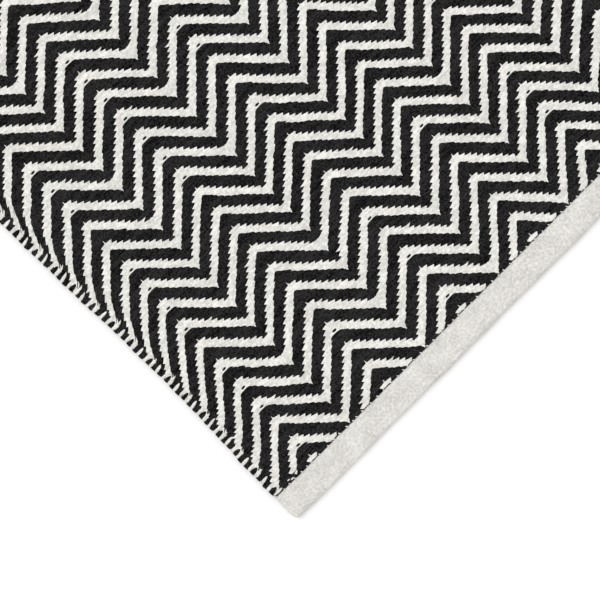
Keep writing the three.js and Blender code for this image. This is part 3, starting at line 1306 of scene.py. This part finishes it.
class RUG_OT_selvedges(bpy.types.Operator):
    """Turns the wefts round the outer warps"""

    bl_idname = "rug.selvedges"
    bl_label = "Turn the Selvedges"

    def execute(self, context):
        weave = context.scene.rug_weave
        turns = weave.weft_rows // weave.turn_rows
        for kind, (start, half_width, proud, forms) in TURN_FORMS.items():
            shapes = []
            for reach, lean in forms:
                for side in (1, -1):
                    turn = selvedge_turn(reach * weave.turn_length / MM, half_width, side, proud)
                    vertices, faces = turned_shape(turn, -side * lean)
                    shapes.append(((vertices * MM).tolist(), faces))
            places = []
            kinds = []
            for turn in range(turns + 2):
                row = start + weave.turn_rows * (turn - 1)
                y = row_picks(weave, row)[0]
                places += [(-OUTER_EDGE, y, 0.0), (OUTER_EDGE, y, 0.0)]
                form = row % TWILL_ROWS // weave.turn_rows % len(forms)
                kinds += [2 * form, 2 * form + 1]
            places = np.array(places)
            clear = shows(places, TURN_MARGIN)
            places = places[clear]
            kinds = np.array(kinds)[clear]
            name = f"selvedge_{kind}"
            mesh = lay_shapes(name, shapes, places, kinds, yarn(kind), TURN_SEED, TURN_VARIATION)
            set_vertex_places(mesh, hold_between_bindings(lie(vertex_places(mesh))))
            finish_piece(mesh, name)
        return {"FINISHED"}


class RUG_OT_core(bpy.types.Operator):
    """Makes the sheet of warps that carries the weft"""

    bl_idname = "rug.core"
    bl_label = "Make the Warps"

    def execute(self, context):
        scene = context.scene
        weave = scene.rug_weave
        half = (COLUMNS - 2 * WARP_MARGIN) / 2 * WARP_PITCH
        columns_x = np.linspace(-half, half, WARP_STEPS[0])
        rows_y = np.concatenate([
            [WOVEN_START - TONGUE_LENGTH, WOVEN_START - TONGUE_SHOULDER],
            np.linspace(WOVEN_START, WOVEN_END, WARP_STEPS[1]),
            [WOVEN_END + TONGUE_SHOULDER, WOVEN_END + TONGUE_LENGTH],
        ])
        inside = (rows_y < WOVEN_START) | (rows_y > WOVEN_END)
        bottom = np.where(inside, TONGUE_HEIGHTS[0], weave.core_bottom)
        top = np.where(inside, TONGUE_HEIGHTS[1], weave.core_top)
        vertices, faces = grid_shell(columns_x, rows_y, bottom, top)
        bound = np.repeat(np.tile(inside, 2), len(columns_x))
        flat = vertices[bound].copy()
        vertices = hold_between_bindings(lie(vertices))
        vertices[bound, 0] = np.clip(flat[:, 0], -HALF_WIDTH + TONGUE_SIDE, HALF_WIDTH - TONGUE_SIDE)
        vertices[bound, 1] = flat[:, 1]
        mesh = mesh_from("warps", vertices, faces)
        # Nearly black warps: the real warps, coloured as painted shade in the gaps between the floats
        deep = scene.rug_yarn.warp
        pale = tuple(1.6 * part for part in deep)
        mesh.materials.append(yarn_material("Cotton warp", deep, pale, *WARP_LOOK))
        core = finish_piece(mesh, "warps", (FIELD,))
        names = [f"face_{kind}_weft_{half}" for kind in ("light", "dark") for half in ("near", "far")]
        names += ["under_light_weft", "under_dark_weft", "selvedge_light", "selvedge_dark"]
        return {"FINISHED"}


def seam_drift(x):
    """How far the stitches of a seam stray from even steps at a place across the rug."""
    return sum(height * np.sin(x / (length * MM) + phase) for height, length, phase in SEAM_DRIFTS) * MM


def binding_section(canvas, inner, outer):
    """The folded strip's section: places along the rug, heights and distances along the cloth."""
    top = BINDING_TOP
    thickness = canvas.thickness
    radius = top / 2
    run = outer - radius - inner

    def round_fold(step, reach):
        """A point of the fold, at a step round it and a reach from its middle, and its angle."""
        angle = math.pi * step / FOLD_STEPS
        return outer - radius + reach * math.sin(angle), radius + reach * math.cos(angle), angle

    section = [(inner + run * share, top, run * share) for share in UPPER_SHARES]
    for step in range(1, FOLD_STEPS):
        y, z, angle = round_fold(step, radius)
        section.append((y, z, run + radius * angle))
    start_of_bottom = run + radius * math.pi
    for share in LOWER_SHARES:
        section.append((inner + run * share, 0.0, start_of_bottom + run * (1 - share)))
    end_of_strip = start_of_bottom + run
    section.append((inner - EDGE_BULGE, 0.5 * thickness, end_of_strip + 0.5 * thickness))
    section.append((inner, thickness, end_of_strip + thickness))
    section.append((inner + 0.5 * run, thickness, end_of_strip + thickness + 0.5 * run))
    inner_radius = radius - thickness
    for step in range(FOLD_STEPS - 1, 0, -2):
        y, z, angle = round_fold(step, inner_radius)
        section.append((y, z, end_of_strip + thickness + run + inner_radius * (math.pi - angle)))
    back = end_of_strip + thickness + run + inner_radius * math.pi
    section.append((inner + 0.5 * run, top - thickness, back + 0.5 * run))
    section.append((inner, top - thickness, back + run))
    section.append((inner - EDGE_BULGE, top - 0.5 * thickness, back + run + 0.5 * thickness))
    return np.array(section)


def wave_angle(x, length, phase):
    """The angle of a wave at places x, of a length in millimetres."""
    return 2 * math.pi * x / (length * MM) + phase


def near_seam(from_seam, height_and_reach):
    """A height that dies away from the seam."""
    height, reach = height_and_reach
    return height * np.exp(-from_seam / reach)


def binding_mesh(name, canvas, seed):
    """One folded canvas strip at the far end of the rug, closed, with its strip coordinates."""
    inner = WOVEN_END + BINDING_GAP
    outer = inner + (WOVEN_START - BINDING_GAP - RUG_START)
    section = binding_section(canvas, inner, outer)
    size = len(section)
    x = np.repeat(np.linspace(-HALF_WIDTH, HALF_WIDTH, STRIP_STEPS), size)
    y, z, strip = (np.tile(section[:, part], STRIP_STEPS) for part in range(3))
    middle = BINDING_TOP / 2
    past = np.clip(np.abs(x) - (HALF_WIDTH - BINDING_CORNER), 0, BINDING_CORNER)
    rounding = BINDING_CORNER - np.sqrt(np.maximum(BINDING_CORNER ** 2 - past ** 2, 0))
    waves = sum(height * (1 - np.cos(wave_angle(x, length, phase))) for length, height, phase in FOLD_WAVES)
    towards_fold = np.clip((y - inner) / (outer - inner), 0, 1)
    y = y - (rounding + waves * MM) * towards_fold
    from_seam = np.maximum(y - inner, 0)
    stitch = np.cos(2 * math.pi * (x - seam_drift(x)) / canvas.stitch_pitch)
    pucker = near_seam(from_seam, PUCKER) * np.clip(stitch, PUCKER_BETWEEN, 1)
    phases = np.random.default_rng(seed).uniform(0, 2 * math.pi, 2 * len(SWELLS))
    for k, (length_x, length_y, height) in enumerate(SWELLS):
        across = np.sin(wave_angle(x, length_x, phases[k]))
        along = np.sin(wave_angle(y, length_y, phases[k + len(SWELLS)]))
        pucker = pucker + height * MM * (0.5 + 0.5 * (across * along))
    outer_skin = np.tile(np.abs(section[:, 1] - middle) > middle - 0.5 * canvas.thickness, STRIP_STEPS)
    z = z - np.sign(z - middle) * pucker * outer_skin
    ripple_length, wander_length = SEAM_RIPPLE_LENGTHS
    ripple = np.sin(2 * math.pi * x / ripple_length + 1.5 * np.sin(2 * math.pi * x / wander_length))
    y = y + ripple * near_seam(from_seam, SEAM_RIPPLE) - stitch * near_seam(from_seam, SEAM_PULL)
    pinch = fade(np.abs(x), HALF_WIDTH - BINDING_CORNER, HALF_WIDTH)
    skin = np.abs(z - middle) > middle - 1.2 * canvas.thickness
    z = middle + (z - middle) * (1 - np.where(skin, 0.5, 0.9) * pinch)
    last = (STRIP_STEPS - 1) * size
    faces = tube_faces(STRIP_STEPS, size)
    faces += [tuple(range(size - 1, -1, -1)), tuple(last + k for k in range(size))]
    mesh = mesh_from(name, np.column_stack([x, y, np.clip(z, 0, None)]), faces)
    mesh.shade_smooth()
    layer = mesh.uv_layers.new(name="Strip")
    corners = np.empty(len(mesh.loops), dtype=np.int32)
    mesh.loops.foreach_get("vertex_index", corners)
    layer.data.foreach_set("uv", np.column_stack([x, strip])[corners].ravel())
    return mesh


class RUG_OT_bindings(bpy.types.Operator):
    """Folds a strip of canvas over each end"""

    bl_idname = "rug.bindings"
    bl_label = "Bind the Ends"

    def execute(self, context):
        canvas = context.scene.rug_canvas
        material = canvas_material(canvas)
        for node, seed, turned in ((FAR_BINDING, 3, False), (NEAR_BINDING, 4, True)):
            name = node.replace("binding", "canvas")
            mesh = binding_mesh(name, canvas, seed)
            if turned:
                mesh.transform(Matrix.Rotation(math.pi, 4, "Z"))
            mesh.materials.append(material)
            piece = finish_piece(mesh, name, (node,))
        return {"FINISHED"}


class RUG_OT_stitches(bpy.types.Operator):
    """Sews the canvas down along the inner edges of the bindings"""

    bl_idname = "rug.stitches"
    bl_label = "Sew the Ends"

    def execute(self, context):
        canvas = context.scene.rug_canvas
        shapes = []
        for up in (1, -1):
            for lean in (-STITCH_LEAN, STITCH_LEAN):
                loop = thread_loop(canvas.stitch_length, STITCH_WIDTH, STITCH_RISE)
                vertices, faces = turned_shape(loop, -lean)
                vertices[:, 2] *= up
                shapes.append((vertices.tolist(), [face[::up] for face in faces]))
        places = []
        kinds = []
        count = int(2 * HALF_WIDTH / canvas.stitch_pitch)
        for end, y in ((0, WOVEN_START), (1, WOVEN_END)):
            for stitch in range(count + 1):
                even = (stitch - count / 2) * canvas.stitch_pitch
                x = even + seam_drift(even)
                if abs(x) < HALF_WIDTH - BINDING_CORNER:
                    places += [(x, y, BINDING_TOP - STITCH_SUNK), (x, y, STITCH_UNDER)]
                    kinds += [end, 2 + end]
        colours = context.scene.rug_yarn
        # Sewing thread blended like the yarn, with the fibres' painted shade in part
        thread = yarn_material("Sewing thread", colours.thread_deep, colours.thread_pale, *THREAD_LOOK)
        name = "seam_stitches"
        mesh = lay_shapes(name, shapes, places, kinds, thread, STITCH_SEED, STITCH_VARIATION)
        points = vertex_places(mesh)
        points[:, 2] = np.clip(points[:, 2], 0.0, None)
        set_vertex_places(mesh, points)
        finish_piece(mesh, name)
        return {"FINISHED"}


class RUG_OT_stage(bpy.types.Operator):
    """Sets the floor, the light and the camera"""

    bl_idname = "rug.stage"
    bl_label = "Set the Stage"

    def execute(self, context):
        scene = context.scene
        stage = scene.rug_stage
        half = stage.floor_size / 2
        below = -0.3 * MM
        corners = [(-half, -half, below), (half, -half, below), (half, half, below), (-half, half, below)]
        mesh = mesh_from("floor", corners, [(0, 1, 2, 3)])
        mesh.materials.append(floor_material(stage))
        floor = bpy.data.objects.new("floor", mesh)
        scene.collection.objects.link(floor)
        floor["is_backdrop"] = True
        world = bpy.data.worlds.new("Even daylight")
        world.use_nodes = True
        world.node_tree.nodes["Background"].inputs["Color"].default_value = (1, 1, 1, 1)
        world.node_tree.nodes["Background"].inputs["Strength"].default_value = stage.daylight
        scene.world = world
        lamp = bpy.data.lights.new("Soft lamp", "SUN")
        lamp.energy = stage.lamp
        lamp.angle = stage.lamp_size
        lamp_object = bpy.data.objects.new("Soft lamp", lamp)
        lamp_object.rotation_euler = (math.radians(-40), math.radians(-10), 0)
        scene.collection.objects.link(lamp_object)
        camera = bpy.data.cameras.new("Camera")
        camera.sensor_width = 36
        camera.lens = camera.sensor_width * stage.camera_height / stage.view_width
        camera.clip_end = 50
        camera_object = bpy.data.objects.new("Camera", camera)
        camera_object.location = (stage.view_x, stage.view_y, stage.camera_height)
        camera_object.rotation_euler = (0, 0, stage.view_turn)
        scene.collection.objects.link(camera_object)
        scene.camera = camera_object
        scene.view_settings.view_transform = "Standard"
        return {"FINISHED"}


class RUG_PT_panel(bpy.types.Panel):
    """Lists the steps and the sizes of the rug"""

    bl_idname = "RUG_PT_panel"
    bl_label = "Kilim Rug"
    bl_space_type = "VIEW_3D"
    bl_region_type = "UI"
    bl_category = "Kilim Rug"

    def draw(self, context):
        for group in ("rug_weave", "rug_yarn", "rug_canvas", "rug_stage"):
            settings = getattr(context.scene, group)
            column = self.layout.column(align=True)
            for name in settings.bl_rna.properties.keys():
                if name not in ("rna_type", "name"):
                    column.prop(settings, name)
        for operator in OPERATORS:
            self.layout.operator(operator.bl_idname)


SETTINGS = {"rug_weave": RugWeave, "rug_yarn": RugYarn, "rug_canvas": RugCanvas, "rug_stage": RugStage}
OPERATORS = (RUG_OT_stage, RUG_OT_weft, RUG_OT_selvedges, RUG_OT_core, RUG_OT_stitches, RUG_OT_bindings)


def register():
    """Adds the settings, the steps and the panel to Blender."""
    for settings in SETTINGS.values():
        bpy.utils.register_class(settings)
    for name, settings in SETTINGS.items():
        setattr(bpy.types.Scene, name, PointerProperty(type=settings))
    for operator in OPERATORS:
        bpy.utils.register_class(operator)
    bpy.utils.register_class(RUG_PT_panel)


def unregister():
    """Takes the panel, the steps and the settings out again."""
    bpy.utils.unregister_class(RUG_PT_panel)
    for operator in reversed(OPERATORS):
        bpy.utils.unregister_class(operator)
    for name in SETTINGS:
        delattr(bpy.types.Scene, name)
    for settings in SETTINGS.values():
        bpy.utils.unregister_class(settings)


def main():
    """Builds the rug."""
    register()
    bpy.ops.rug.stage()
    bpy.ops.rug.weft()
    bpy.ops.rug.selvedges()
    bpy.ops.rug.core()
    bpy.ops.rug.stitches()
    bpy.ops.rug.bindings()
    sizes = {"cad": CAD_BOX, "visual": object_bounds()}
    plain = {name: [[float(part) for part in corner] for corner in box] for name, box in sizes.items()}


if __name__ == "__main__":
    main()
